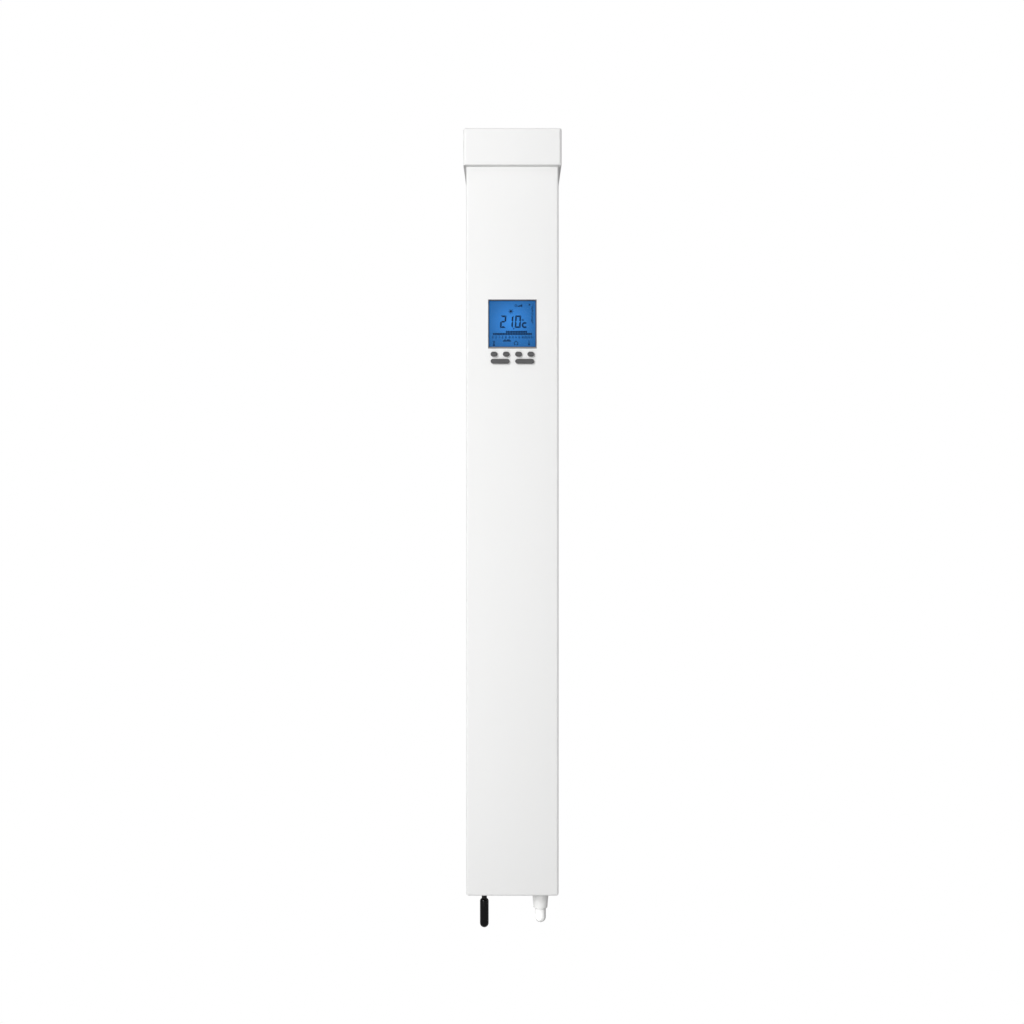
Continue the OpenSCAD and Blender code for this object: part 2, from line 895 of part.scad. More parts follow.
terminal_pitch = 7.5;
terminal_d = 15;
terminal_low_z = -92;
terminal_screw_z = -80;
terminal_x = [for (i = [-2:2]) i * terminal_pitch];
module terminal_block() {
    wire_w = 4.4;
    color("seagreen")
    difference() {
        board_block(-2.5 * terminal_pitch, terminal_low_z, 5 * terminal_pitch, terminal_d, 17);
        for (x = terminal_x) {
            rod_y(x, terminal_screw_z, 2.3, power_y - terminal_d - 1, power_y - 10);
            // Wire entry from below
            translate([x - wire_w / 2, power_y - 9, terminal_low_z - 1])
                cube([wire_w, 5, 9]);
        }
    }
}

module terminal_screws() {
    head_y = power_y - 13.4;
    slot_w = 0.6;
    color("silver")
    for (x = terminal_x)
        difference() {
            rod_y(x, terminal_screw_z, 2.1, head_y, power_y - 10.1);
            translate([x - 2, head_y - 0.5, terminal_screw_z - slot_w / 2])
                cube([4, 1.4, slot_w]);
        }
}

// ---- Chassis fittings ----

earth_x = -24;
earth_z = -124;
earth_r = 2;
module earth_stud() {
    nut_h = 3.2;
    color("gold") {
        rod_y(earth_x, earth_z, earth_r, -14, -chassis_t);
        translate([earth_x, -chassis_t - nut_h, earth_z])
            rotate([-90, 0, 0])
                hex_nut(7, nut_h, earth_r + 0.02);
    }
}

// Snap bushings in the chassis, level with its back, for the cables that come out of the wall
module cable_bushings() {
    color("black")
    for (side = [-1, 1])
        difference() {
            union() {
                rod_y(side * bushing_x, bushing_z, bushing_r + 1.4, -bushing_l, 0);
                rod_y(side * bushing_x, bushing_z, bushing_r + 3.5, -chassis_t - 2, -chassis_t);
            }
            rod_y(side * bushing_x, bushing_z, bushing_r, -bushing_l - 1, 1);
        }
}

// ---- Sensor and gland ----

// Sleeve with a round nose and a narrow neck, open along its middle for the lead
module sensor_probe() {
    top = floor_z - sleeve_top;
    low = floor_z - sensor_drop;
    shoulder = 2.4;
    color("black")
    translate([-outlet_x, outlet_y, 0])
        rotate_extrude()
            intersection() {
                translate([0, low - 1])
                    square([sensor_r + 1, neck_top_z + 2 - low]);
                union() {
                    translate([0, low + sensor_r])
                        square([sensor_r, top - shoulder - low - sensor_r]);
                    translate([0, low + sensor_r])
                        circle(sensor_r);
                    translate([sensor_r - shoulder, top - shoulder])
                        circle(shoulder);
                    square_to([0, top - shoulder - 1], [sensor_r - shoulder, top]);
                    square_to([0, top - 1], [lead_r, neck_top_z]);
                }
            }
}

// Rectangle between two opposite corners
module square_to(a, b) {
    translate(a)
        square(b - a);
}

// Rubber ring that holds the sensor's neck in the bottom plate
module probe_grommet() {
    wall_r = grommet_r - 1.2;
    color("black")
    translate([-outlet_x, outlet_y, 0])
        difference() {
            union() {
                rod_z(0, 0, wall_r, plate_z - 0.1, plate_z + 3.3);
                rod_z(0, 0, grommet_r, plate_z - 1.5, plate_z - 0.02);
                rod_z(0, 0, grommet_r, plate_z + 3.22, plate_z + 4.6);
            }
            rod_z(0, 0, lead_r + 0.02, plate_z - 3, plate_z + 6);
        }
}

// Wire from the sensor up to the control board, with its plug
module sensor_wire() {
    color("black") {
        tube(smooth_route(wire_route, 4), 1.2, 8);
        translate([-24, board_back_y + 1, 89.5])
            cube([8, 6, 6]); // plug at the board's lower edge
    }
}

// Tapered gland nose with its thread through the bottom plate and the nut inside
module cable_gland() {
    end = floor_z - gland_drop;
    seat = plate_z - 0.05;
    taper_top = floor_z - 8;
    round_r = 1.2;
    color("white")
    translate([outlet_x, outlet_y, 0]) {
        difference() {
            union() {
                rod_z(0, 0, gland_r, taper_top - eps, seat);
                translate([0, 0, end + round_r])
                    cylinder(r1 = gland_tip_r, r2 = gland_r, h = taper_top - end - round_r);
                rotate_extrude()
                    square_to([0, end], [gland_tip_r - round_r, end + round_r + eps]);
                translate([0, 0, end + round_r])
                    rotate_extrude()
                        translate([gland_tip_r - round_r, 0])
                            intersection() {
                                circle(round_r);
                                translate([0, -round_r])
                                    square([round_r, round_r + eps]);
                            }
                rod_z(0, 0, thread_r, seat - eps, plate_z + 12);
            }
            rod_z(0, 0, plug_r + 0.05, end - 1, plate_z + 13);
        }
        translate([0, 0, plate_z + 3.3])
            hex_nut(15, 4, thread_r + 0.03);
    }
}

// Domed plug that closes the gland
module gland_plug() {
    low = floor_z - gland_drop - plug_drop;
    color("white")
    translate([outlet_x, outlet_y, 0])
        rotate_extrude()
            intersection() {
                translate([0, low - 1])
                    square([plug_r + 1, plate_z + 10 - low]);
                union() {
                    square_to([0, low + plug_r], [plug_r, plate_z + 8]);
                    translate([0, low + plug_r])
                        circle(plug_r);
                }
            }
}

// ---- Which pieces are drawn ----

front_cover();
rear_chassis();
chassis_flanges();
top_plate();
top_plate_rivets();
top_cap();
cap_screws();
bottom_plate();
plate_screws();
cover_screws();
rating_label();
display_bezel();
display_window();
window_gasket();
lcd_cell();
backlight_panel();
display_strips();
display_carrier();
small_key(0);  // mode_key
small_key(1);  // program_key
small_key(2);  // clock_key
small_key(3);  // boost_key
wide_key(0);  // minus_key
wide_key(1);  // plus_key
plunger(small_x[0], small_row_z);  // mode_plunger
plunger(small_x[1], small_row_z);  // program_plunger
plunger(small_x[2], small_row_z);  // clock_plunger
plunger(small_x[3], small_row_z);  // boost_plunger
plunger(wide_x[0], wide_row_z);  // minus_plunger
plunger(wide_x[1], wide_row_z);  // plus_plunger
tact_switches();
control_board();
cover_studs();
stud_spacers();
stud_nuts();
controller_chip();
battery_clip();
clock_battery();
buzzer();
ribbon_sockets();
ribbon_cable();
power_board();
board_pillars();
pillar_screws();
insulation_sheet();
mains_relay();
supply_transformer();
smoothing_capacitors();
film_capacitor();
fuse();
fuse_clips();
terminal_block();
terminal_screws();
earth_stud();
cable_bushings();
sensor_probe();
probe_grommet();
sensor_wire();
cable_gland();
gland_plug();
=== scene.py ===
import bmesh
import bpy
from math import cos, pi, radians, sin
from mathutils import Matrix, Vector


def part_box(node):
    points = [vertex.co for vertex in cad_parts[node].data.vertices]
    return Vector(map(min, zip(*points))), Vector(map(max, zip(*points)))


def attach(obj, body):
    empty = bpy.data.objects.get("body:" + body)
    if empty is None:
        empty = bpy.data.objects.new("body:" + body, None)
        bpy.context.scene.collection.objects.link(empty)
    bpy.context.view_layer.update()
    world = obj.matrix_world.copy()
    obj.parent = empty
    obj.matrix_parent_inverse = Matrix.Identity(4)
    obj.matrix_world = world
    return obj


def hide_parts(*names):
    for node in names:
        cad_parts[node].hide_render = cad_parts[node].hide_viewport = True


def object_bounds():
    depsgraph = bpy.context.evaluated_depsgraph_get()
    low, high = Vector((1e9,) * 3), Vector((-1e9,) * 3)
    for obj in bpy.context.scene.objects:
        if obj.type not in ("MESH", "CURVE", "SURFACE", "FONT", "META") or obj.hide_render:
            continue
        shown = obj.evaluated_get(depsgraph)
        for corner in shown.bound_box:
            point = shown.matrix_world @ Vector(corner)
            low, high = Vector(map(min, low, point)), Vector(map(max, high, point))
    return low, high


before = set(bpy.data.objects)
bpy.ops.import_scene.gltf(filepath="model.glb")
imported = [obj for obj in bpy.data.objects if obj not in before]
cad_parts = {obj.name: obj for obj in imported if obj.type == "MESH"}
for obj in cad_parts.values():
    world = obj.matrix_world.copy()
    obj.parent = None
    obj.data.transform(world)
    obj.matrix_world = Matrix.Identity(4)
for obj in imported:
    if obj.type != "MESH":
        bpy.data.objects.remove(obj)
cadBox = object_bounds()
mm = 0.001  # m


# Straight on to the front, level with the middle of the column
shot = {
    "lens": 50,  # mm
    "sensor": 36,  # mm
    "distance": 1.0773,  # m in front of the column's face
    "across": -0.0003,
    "up": 0.0009,
    "near": 0.05,  # m, the closest that the camera shows
    "far": 60,
}


def makeCamera():
    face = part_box("front_cover")[0].y
    data = bpy.data.cameras.new("camera")
    data.lens = shot["lens"]
    data.sensor_width = shot["sensor"]
    data.clip_start = shot["near"]
    data.clip_end = shot["far"]
    camera = bpy.data.objects.new("camera", data)
    camera.location = (shot["across"], face - shot["distance"], shot["up"])
    camera.rotation_euler = (pi / 2, 0, 0)
    bpy.context.scene.collection.objects.link(camera)
    bpy.context.scene.camera = camera


makeCamera()
print("camera ready")


class Wire:  # a node's output, so that sums written with it become Math nodes
    def __init__(self, board, socket):
        self.board = board
        self.socket = socket

    def maths(self, operation, other=None, swapped=False):
        ends = (other, self) if swapped else (self, other)
        values = {place: value for place, value in enumerate(ends) if value is not None}
        return self.board.add("Math", {"operation": operation}, values)

    def __add__(self, other):
        return self.maths("ADD", other)

    __radd__ = __add__

    def __sub__(self, other):
        return self.maths("SUBTRACT", other)

    def __rsub__(self, other):
        return self.maths("SUBTRACT", other, True)

    def __mul__(self, other):
        return self.maths("MULTIPLY", other)

    __rmul__ = __mul__

    def __truediv__(self, other):
        return self.maths("DIVIDE", other)

    def __pow__(self, other):
        return self.maths("POWER", other)

    def __abs__(self):
        return self.maths("ABSOLUTE")

    def over(self, limit):  # 1 where the value is above the limit
        return self.maths("GREATER_THAN", limit)

    def under(self, limit):
        return self.maths("LESS_THAN", limit)


class Board:  # one node tree, and the one way to put nodes on it
    def __init__(self, tree):
        self.tree = tree
        tree.nodes.clear()

    def add(self, kind, settings=None, sockets=None, output=0):
        node = self.tree.nodes.new("ShaderNode" + kind)
        for name, value in (settings or {}).items():
            if name == "stops":
                self.fillRamp(node.color_ramp.elements, value)
            else:
                setattr(node, name, value)
        for name, value in (sockets or {}).items():
            if isinstance(value, Wire):
                self.tree.links.new(value.socket, node.inputs[name])
            else:
                node.inputs[name].default_value = value
        return Wire(self, node.outputs[output]) if len(node.outputs) else None

    def fillRamp(self, elements, stops):
        while len(elements) < len(stops):
            elements.new(1)
        for element, (place, value) in zip(elements, stops):
            element.position = place
            element.color = (*value, 1) if isinstance(value, tuple) else (value, value, value, 1)

    def place(self, stretch=(1, 1, 1)):  # the piece's own coordinates, in metres
        spot = self.add("TexCoord", output="Object")
        if stretch == (1, 1, 1):
            return spot
        return self.add("VectorMath", {"operation": "MULTIPLY"}, {0: spot, 1: stretch})

    def part(self, vector, letter):  # one coordinate, X, Y or Z, of a vector
        return self.add("SeparateXYZ", None, {0: vector}, letter)

    def noise(self, scale, detail=2, stretch=(1, 1, 1)):  # scale in patches for each metre
        return self.add("TexNoise", None, {"Vector": self.place(stretch), "Scale": scale, "Detail": detail})

    def cells(self, scale, output="Distance", distance="EUCLIDEAN", randomness=1.0):
        sockets = {"Vector": self.place(), "Scale": scale, "Randomness": randomness}
        return self.add("TexVoronoi", {"distance": distance}, sockets, output)

    def ramp(self, value, stops):
        return self.add("ValToRGB", {"stops": stops}, {0: value})

    def blend(self, amount, first, second):  # two colours
        sockets = {0: amount, 6: solid(first), 7: solid(second)}
        return self.add("Mix", {"data_type": "RGBA"}, sockets, 2)

    def bump(self, height, distance, strength=1):
        return self.add("Bump", None, {"Height": height, "Distance": distance, "Strength": strength})

    def surface(self, sockets):
        shader = self.add("BsdfPrincipled", None, {name: solid(value) for name, value in sockets.items()})
        self.add("OutputMaterial", None, {"Surface": shader})


def solid(color):
    return (*color, 1) if isinstance(color, tuple) and len(color) == 3 else color


def startMaterial(name):
    material = bpy.data.materials.new(name)
    material.use_nodes = True
    return material, Board(material.node_tree)


def shade(color, factor):
    return tuple(min(1, part * factor) for part in color)


def powderCoat(name, look):  # sprayed and baked paint: faint orange peel, almost even in colour
    material, board = startMaterial(name)
    cloud = board.noise(7, 3)
    peel = board.noise(620, 2)
    grain = board.noise(3200, 2)
    board.surface({
        "Base Color": board.blend(cloud, shade(look["color"], 0.985), look["color"]),
        "Roughness": look["roughness"] + board.noise(40, 3) * 0.08 - 0.04,
        "Normal": board.bump(peel * 0.8 + grain * 0.2, 0.06 * mm, 0.35),
    })
    return material


def mouldedPlastic(name, look):  # a spark-eroded mould leaves an even, very fine grain
    material, board = startMaterial(name)
    grain = board.noise(look.get("grain", 2600), 3)
    cloud = board.noise(16, 2)
    tone = board.blend(cloud, shade(look["color"], 0.97), look["color"])
    if "under" in look:  # painted shade: the faces that point down get a darker colour, standing in for the shade under the overhang
        down = board.part(board.add("NewGeometry", output="Normal"), "Z") * -1
        paintedShade = board.ramp(down, [(0.4, 0.0), (0.9, 1.0)])
        tone = board.blend(paintedShade, tone, shade(look["color"], look["under"]))
    board.surface({
        "Base Color": tone,
        "Roughness": look["roughness"] + grain * 0.12 - 0.06,
        "Normal": board.bump(grain, 0.05 * mm, 0.3),
    })
    return material


def glossPlastic(name, look):  # smooth moulding with slight waves and finger marks
    material, board = startMaterial(name)
    waves = board.noise(130, 2)
    smears = board.noise(70, 4)
    board.surface({
        "Base Color": board.blend(smears, shade(look["color"], 0.94), look["color"]),
        "Roughness": look["roughness"] + smears ** 3 * 0.25,
        "Specular IOR Level": look.get("specular", 0.5),
        "Normal": board.bump(waves, 0.05 * mm, 0.25),
    })
    return material


def softRubber(name, look):  # matt, with a dry bloom in patches
    material, board = startMaterial(name)
    grain = board.noise(5200, 3)
    bloom = board.ramp(board.noise(260, 4), [(0.35, 0.0), (0.75, 1.0)])
    board.surface({
        "Base Color": board.blend(bloom, look["color"], shade(look["color"], 1.12)),
        "Roughness": look["roughness"] + grain * 0.1 - 0.05,
        "Specular IOR Level": 0.35,
        "Normal": board.bump(grain, 0.04 * mm, 0.3),
    })
    return material


def platedMetal(name, look):  # turned or pressed, with lines along one way and a thin plating
    material, board = startMaterial(name)
    lines = board.noise(900, 2, (1, 1, 9))
    tint = board.noise(140, 3)
    board.surface({
        "Base Color": board.blend(tint, shade(look["color"], 0.88), look["color"]),
        "Metallic": 1.0,
        "Roughness": look["roughness"] + lines * 0.16 - 0.04,
        "Normal": board.bump(lines, 0.02 * mm, 0.4),
    })
    return material


def galvanisedSheet(name, look):  # zinc crystals, each with its own tone and gloss
    material, board = startMaterial(name)
    crystal = board.cells(130, "Color")
    tone = board.add("SeparateColor", None, {0: crystal})
    rub = board.noise(700, 3, (1, 1, 0.12))
    board.surface({
        "Base Color": board.blend(tone, shade(look["color"], 0.86), look["color"]),
        "Metallic": 0.92,
        "Roughness": look["roughness"] + tone * 0.16 + rub * 0.08,
        "Normal": board.bump(tone * 0.6 + rub * 0.4, 0.03 * mm, 0.3),
    })
    return material


def circuitLaminate(name, look):  # copper tracks raise the lacquer over a woven glass base
    material, board = startMaterial(name)
    x, z = [board.part(board.place(), letter) for letter in "XZ"]
    edge = board.cells(look["islands"], distance="MANHATTAN", randomness=0.55)
    tracks = edge.maths("PINGPONG", look["trackPitch"]).under(look["trackWidth"])
    weave = (x * look["threads"]).maths("SINE") * (z * look["threads"]).maths("SINE")
    board.surface({
        "Base Color": board.blend(tracks, look["color"], look["track"]),
        "Roughness": look["roughness"] + weave * 0.04,
        "Normal": board.bump(tracks + weave * 0.1, 0.035 * mm, 0.5),
    })
    return material


def shrinkSleeve(name, look):  # printed film around a can, with its light stripe
    material, board = startMaterial(name)
    x, z = [board.part(board.place(), letter) for letter in "XZ"]
    stripe = (x * look["around"] + z * look["along"]).maths("SINE").over(look["edge"])
    folds = board.noise(420, 2)
    board.surface({
        "Base Color": board.blend(stripe, look["color"], look["stripe"]),
        "Roughness": look["roughness"] + folds * 0.1,
        "Normal": board.bump(folds, 0.04 * mm, 0.4),
    })
    return material


def laminatedCore(name, look):  # a stack of varnished sheets, with the enamelled winding above and below
    material, board = startMaterial(name)
    y, z = [board.part(board.place(), letter) for letter in "YZ"]
    low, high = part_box("supply_transformer")
    middle = (low.z + high.z) / 2
    winding = abs(z - middle).over((high.z - low.z) / 2 - look["windingHeight"])
    sheets = (y * look["sheets"]).maths("SINE")
    turns = (z * look["turns"]).maths("SINE")
    board.surface({
        "Base Color": board.blend(winding, look["color"], look["winding"]),
        "Metallic": winding * 0.6 + 0.2,
        "Roughness": look["roughness"] + sheets * 0.06,
        "Normal": board.bump(sheets * (1 - winding) + turns * winding, 0.05 * mm, 0.5),
    })
    return material


def ribbedCable(name, look):  # flat cable: one ridge for each wire, with the first wire marked
    material, board = startMaterial(name)
    x = board.part(board.place(), "X")
    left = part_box("ribbon_cable")[0].x
    ridge = abs(((x - left) * (pi / look["pitch"])).maths("SINE"))
    first = x.under(left + look["plugRim"] + look["pitch"])
    board.surface({
        "Base Color": board.blend(first, look["color"], look["marked"]),
        "Roughness": look["roughness"] + ridge * 0.08,
        "Normal": board.bump(ridge, 0.25 * mm, 0.6),
    })
    return material


def clearSheet(name, look):  # see-through, with a trace of reflection and a few finger marks
    material, board = startMaterial(name)
    smear = board.noise(90, 3)
    board.surface({
        "Base Color": look["color"],
        "Roughness": look["roughness"] + smear * 0.08,
        "Alpha": look["alpha"] + smear * look["alpha"],
        "Normal": board.bump(board.noise(60, 1), 0.02 * mm, 0.2),
    })
    return material


def litCrystal(name, look):  # the lit cell: brightest in the middle and deeper blue to its edges
    material, board = startMaterial(name)
    x, z = [board.part(board.place(), letter) for letter in "XZ"]
    low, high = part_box("display_window")
    across = (x - (low.x + high.x) / 2 - look["shift"][0]) / ((high.x - low.x) / 2)
    up = (z - (low.z + high.z) / 2 - look["shift"][1]) / ((high.z - low.z) / 2)
    away = (across ** 2 + up ** 2) ** 0.5
    grain = board.noise(1500, 2)
    glow = board.ramp(away / look["reach"] + grain * 0.02 - 0.01, look["stops"])
    board.surface({
        "Base Color": board.blend(grain, look["color"], shade(look["color"], 0.9)),
        "Emission Color": glow,
        "Emission Strength": look["strength"],
        "Roughness": 0.3 + grain * 0.05,
        "Specular IOR Level": 0.1,
    })
    return material


def dress(material, *names):
    for name in names:
        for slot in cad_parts[name].material_slots:
            slot.material = material


keyNames = ["mode", "program", "clock", "boost", "minus", "plus"]

whiteCoat = powderCoat("white powder coat", {"color": (0.90, 0.90, 0.895), "roughness": 0.42})
# under: painted shade, the cap's faces that point down are darkened to 0.78 of its colour
capPlastic = mouldedPlastic("white moulded cap", {
    "color": (0.89, 0.89, 0.885), "roughness": 0.44, "under": 0.78})
platePlastic = mouldedPlastic("white moulded plate", {"color": (0.86, 0.86, 0.85), "roughness": 0.5})
zincSheet = galvanisedSheet("galvanised chassis", {"color": (0.62, 0.64, 0.66), "roughness": 0.34})
zincPlating = platedMetal("zinc plated screws", {"color": (0.68, 0.68, 0.67), "roughness": 0.26})
rivetMetal = platedMetal("rivet aluminium", {"color": (0.76, 0.77, 0.78), "roughness": 0.34})
labelFilm = mouldedPlastic("label film", {"color": (0.80, 0.81, 0.80), "roughness": 0.36, "grain": 900})
bezelPlastic = mouldedPlastic("warm grey bezel", {"color": (0.30, 0.28, 0.27), "roughness": 0.45})
windowPlastic = clearSheet("display window", {
    "color": (0.10, 0.22, 0.38), "roughness": 0.06, "alpha": 0.008})
gasketFoam = softRubber("black foam", {"color": (0.03, 0.03, 0.03), "roughness": 0.85})
litCell = litCrystal("lit display cell", {
    "color": (0.002, 0.008, 0.02),
    "shift": (-0.5 * mm, 1.5 * mm),
    "strength": 1.0,
    "reach": 1.5,  # how far out a stop at 1 lies, in half widths of the window
    "stops": [(0.0, (0.043, 0.265, 0.77)), (0.30, (0.034, 0.205, 0.60)), (0.60, (0.023, 0.148, 0.43)),
              (0.95, (0.017, 0.112, 0.325))],
})
lightGuide = glossPlastic("light guide", {"color": (0.45, 0.72, 0.92), "roughness": 0.15})
stripRubber = softRubber("contact strip rubber", {"color": (0.20, 0.20, 0.22), "roughness": 0.75})
carrierPlastic = mouldedPlastic("ivory moulding", {"color": (0.74, 0.72, 0.64), "roughness": 0.5})
keyRubber = softRubber("dark grey key rubber", {"color": (0.092, 0.092, 0.094), "roughness": 0.62})
plungerPlastic = mouldedPlastic("black plunger", {"color": (0.03, 0.03, 0.03), "roughness": 0.5})
switchSteel = platedMetal("switch frame", {"color": (0.70, 0.70, 0.69), "roughness": 0.22})
boardPattern = {
    "islands": 150,  # for each metre
    "trackPitch": 0.12,  # as a share of an island
    "trackWidth": 0.045,
    "threads": 5200,  # of the woven glass, in radians for each metre
}
greenBoard = circuitLaminate("green board", {
    **boardPattern, "color": (0.012, 0.10, 0.04), "track": (0.03, 0.19, 0.08), "roughness": 0.28})
tanBoard = circuitLaminate("tan board", {
    **boardPattern, "color": (0.36, 0.22, 0.08), "track": (0.30, 0.17, 0.055), "roughness": 0.5})
chipPlastic = mouldedPlastic("chip moulding", {"color": (0.02, 0.02, 0.022), "roughness": 0.55})
batterySteel = platedMetal("battery can", {"color": (0.74, 0.74, 0.74), "roughness": 0.18})
socketPlastic = glossPlastic("socket nylon", {"color": (0.82, 0.80, 0.72), "roughness": 0.3})
ribbonSkin = ribbedCable("ribbon cable", {
    "color": (0.34, 0.34, 0.36), "marked": (0.45, 0.02, 0.02), "roughness": 0.42,
    "pitch": 1.27 * mm, "plugRim": 1.3 * mm})
filmSheet = glossPlastic("insulating film", {"color": (0.70, 0.60, 0.34), "roughness": 0.3})
relayPlastic = glossPlastic("relay case", {"color": (0.02, 0.08, 0.30), "roughness": 0.25})
coreSteel = laminatedCore("transformer", {
    "color": (0.05, 0.05, 0.055), "winding": (0.55, 0.20, 0.06), "roughness": 0.4,
    "windingHeight": 3.8 * mm,
    "sheets": 9000, "turns": 9500})  # radians for each metre
sleeveFilm = shrinkSleeve("capacitor sleeve", {
    "color": (0.012, 0.018, 0.09), "stripe": (0.62, 0.66, 0.70), "roughness": 0.25,
    "around": 520, "along": 130,  # how fast the stripes follow each other, in radians for each metre
    "edge": 0.93})  # a stripe shows where the wave is above this
yellowCase = glossPlastic("film capacitor case", {"color": (0.72, 0.46, 0.04), "roughness": 0.3})
fuseGlass = clearSheet("fuse glass", {"color": (0.86, 0.9, 0.9), "roughness": 0.05, "alpha": 0.35})
brassClip = platedMetal("plated brass", {"color": (0.78, 0.57, 0.25), "roughness": 0.28})
terminalPlastic = glossPlastic("terminal block", {"color": (0.02, 0.24, 0.08), "roughness": 0.35})
bushingRubber = softRubber("bushing rubber", {"color": (0.022, 0.022, 0.022), "roughness": 0.65})
probeGloss = glossPlastic("glossy black probe", {
    "color": (0.0015, 0.0015, 0.0018), "roughness": 0.07, "specular": 0.3})
wireSkin = softRubber("wire skin", {"color": (0.016, 0.016, 0.017), "roughness": 0.45})
glandGloss = glossPlastic("glossy white gland", {"color": (0.86, 0.86, 0.85), "roughness": 0.16})

dress(whiteCoat, "front_cover")
dress(capPlastic, "top_cap")
dress(platePlastic, "bottom_plate")
dress(zincSheet, "rear_chassis", "chassis_flanges", "top_plate")
dress(zincPlating, "cap_screws", "plate_screws", "cover_screws", "pillar_screws", "terminal_screws",
      "cover_studs", "stud_nuts")
dress(rivetMetal, "top_plate_rivets")
dress(labelFilm, "rating_label")
dress(bezelPlastic, "display_bezel")
dress(windowPlastic, "display_window")
dress(gasketFoam, "window_gasket")
dress(litCell, "lcd_cell")
dress(lightGuide, "backlight_panel")
dress(stripRubber, "display_strips")
dress(carrierPlastic, "display_carrier", "battery_clip", "stud_spacers", "board_pillars")
dress(plungerPlastic, *[name + "_plunger" for name in keyNames])
dress(switchSteel, "tact_switches")
dress(greenBoard, "control_board")
dress(tanBoard, "power_board")
dress(chipPlastic, "controller_chip", "buzzer")
dress(batterySteel, "clock_battery")
dress(socketPlastic, "ribbon_sockets")
dress(ribbonSkin, "ribbon_cable")
dress(filmSheet, "insulation_sheet")
dress(relayPlastic, "mains_relay")
dress(coreSteel, "supply_transformer")
dress(sleeveFilm, "smoothing_capacitors")
dress(yellowCase, "film_capacitor")
dress(fuseGlass, "fuse")
dress(brassClip, "fuse_clips", "earth_stud")
dress(terminalPlastic, "terminal_block")
dress(bushingRubber, "cable_bushings", "probe_grommet")
dress(probeGloss, "sensor_probe")
dress(wireSkin, "sensor_wire")
dress(glandGloss, "cable_gland", "gland_plug")
print("finishes on the frame's nodes")


creaseAngle = radians(35)  # sharper edges stay crisp


def meshFrom(name, shape):
    mesh = bpy.data.meshes.new(name)
    shape.to_mesh(mesh)
    shape.free()
    return mesh


def addPiece(name, shape, material, body):
    bmesh.ops.recalc_face_normals(shape, faces=shape.faces)
    mesh = meshFrom(name, shape)
    mesh.materials.append(material)
    mesh.shade_smooth()
    mesh.set_sharp_from_angle(angle=creaseAngle)
    piece = bpy.data.objects.new(name, mesh)
    bpy.context.scene.collection.objects.link(piece)
    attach(piece, body)
    return piece


keyShape = {
    "flange": 0.5 * mm,  # how far the hidden flange stands out around the cap
    "flangeFront": 1.3 * mm,  # behind the cover's face
    "flangeDepth": 0.7 * mm,
    "edge": 0.32 * mm,  # radius around the front
    "dish": 0.1 * mm,  # hollow of the front
    "stem": 1.3 * mm,  # radius
    "sides": 72,
    "frontRings": 6,
    "edgeRings": 8,
}


def pillRing(shape, center, halfSpan, radius, y):
    ring = []
    for step in range(keyShape["sides"]):
        angle = (step + 0.5) * 2 * pi / keyShape["sides"]
        side = 1 if cos(angle) > 0 else -1
        x = center.x + side * halfSpan + radius * cos(angle)
        ring.append(shape.verts.new((x, y, center.z + radius * sin(angle))))
    return ring


def bridge(shape, first, second):
    count = len(first)
    for step in range(count):
        after = (step + 1) % count
        shape.faces.new((first[step], first[after], second[after], second[step]))


def makeKey(name):
    low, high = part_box(name + "_key")
    center = (low + high) / 2
    radius = (high.z - low.z) / 2 - keyShape["flange"]
    halfSpan = (high.x - low.x) / 2 - keyShape["flange"] - radius
    edge = keyShape["edge"]
    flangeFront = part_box("front_cover")[0].y + keyShape["flangeFront"]
    flangeBack = flangeFront + keyShape["flangeDepth"]
    profile = []  # (span, radius, y), from the middle of the front to the end of the stem
    flat = radius - edge
    for step in range(1, keyShape["frontRings"] + 1):
        reach = step / keyShape["frontRings"]
        profile.append((halfSpan, flat * reach, low.y + keyShape["dish"] * (1 - reach ** 2)))
    for step in range(1, keyShape["edgeRings"] + 1):
        turn = step / keyShape["edgeRings"] * pi / 2
        profile.append((halfSpan, flat + edge * sin(turn), low.y + edge * (1 - cos(turn))))
    profile.append((halfSpan, radius, flangeFront))
    profile.append((halfSpan, radius + keyShape["flange"], flangeFront))
    profile.append((halfSpan, radius + keyShape["flange"], flangeBack))
    profile.append((0, keyShape["stem"], flangeBack))
    profile.append((0, keyShape["stem"], high.y))
    shape = bmesh.new()
    rings = [pillRing(shape, center, *level) for level in profile]
    for first, second in zip(rings, rings[1:]):
        bridge(shape, first, second)
    shape.faces.new(rings[0])
    shape.faces.new(rings[-1])
    piece = addPiece(name + "_keycap", shape, keyRubber, name + "_button")
    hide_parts(name + "_key")


for name in keyNames:
    makeKey(name)
print("six keys made")


# All the display's marks are laid out in mm, from the middle of the bezel, raised by the lift
marks = {
    "depth": 0.03,  # how thick a mark is
    "gap": 0.02,  # from the cell's front to a mark
    "lift": 0.3,
    "fine": 0.34,  # stroke of the icons
    "segmentGap": 0.09,  # between the bars of a digit, as a share of their stroke
    "color": (0.002, 0.021, 0.070),
}
segmentsOf = {  # the bars that make each digit
    0: "abcdef", 1: "bc", 2: "abged", 3: "abgcd", 4: "fgbc", 5: "afgcd", 6: "afgedc", 7: "abc", 8: "abcdefg"}


